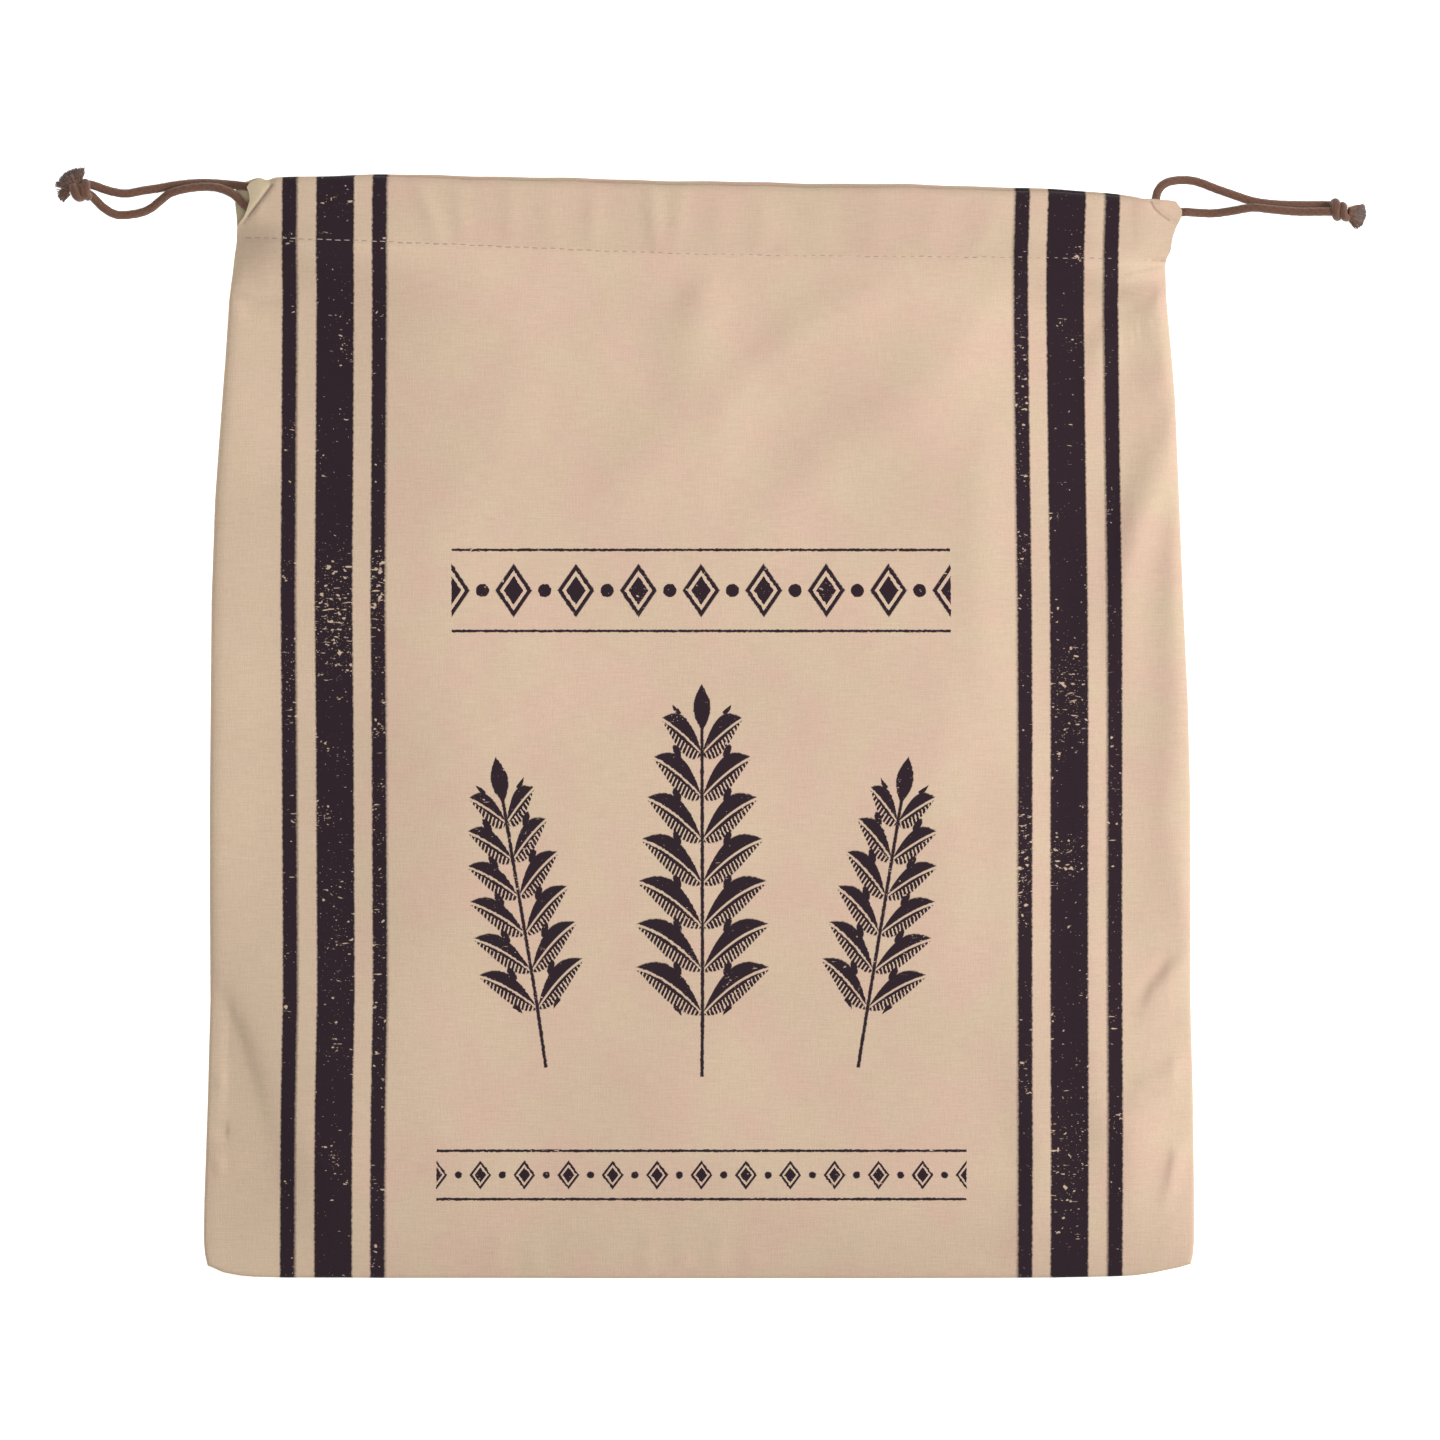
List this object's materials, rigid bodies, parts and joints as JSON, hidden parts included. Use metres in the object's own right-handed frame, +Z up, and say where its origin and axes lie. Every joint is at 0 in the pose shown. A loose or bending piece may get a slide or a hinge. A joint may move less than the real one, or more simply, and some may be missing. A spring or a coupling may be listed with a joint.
{
  "type": "drawstring bread bag",
  "caption": "Flat cotton bread bag with dark grain-sack stripes, a stitched drawstring casing along its mouth and knotted brown cords, laid flat.",
  "frame": {"origin": "on the surface the bag lies on, under the middle of the two panels' outline", "axes": "+Y along the bag from its bottom edge to its mouth, +X to the right across the printed front, +Z up out of the front"},
  "size_m": [0.4551, 0.385, 0.017],
  "materials": {
    "cotton_cloth": "matt plain weave",
    "brown_cord": "matt braided"
  },
  "bodies": {
    "root": {"front_panel": "cotton_cloth", "back_panel": "cotton_cloth", "drawstring_left": "brown_cord", "drawstring_right": "brown_cord", "knot_left": "brown_cord", "knot_right": "brown_cord"}
  },
  "joints": []
}
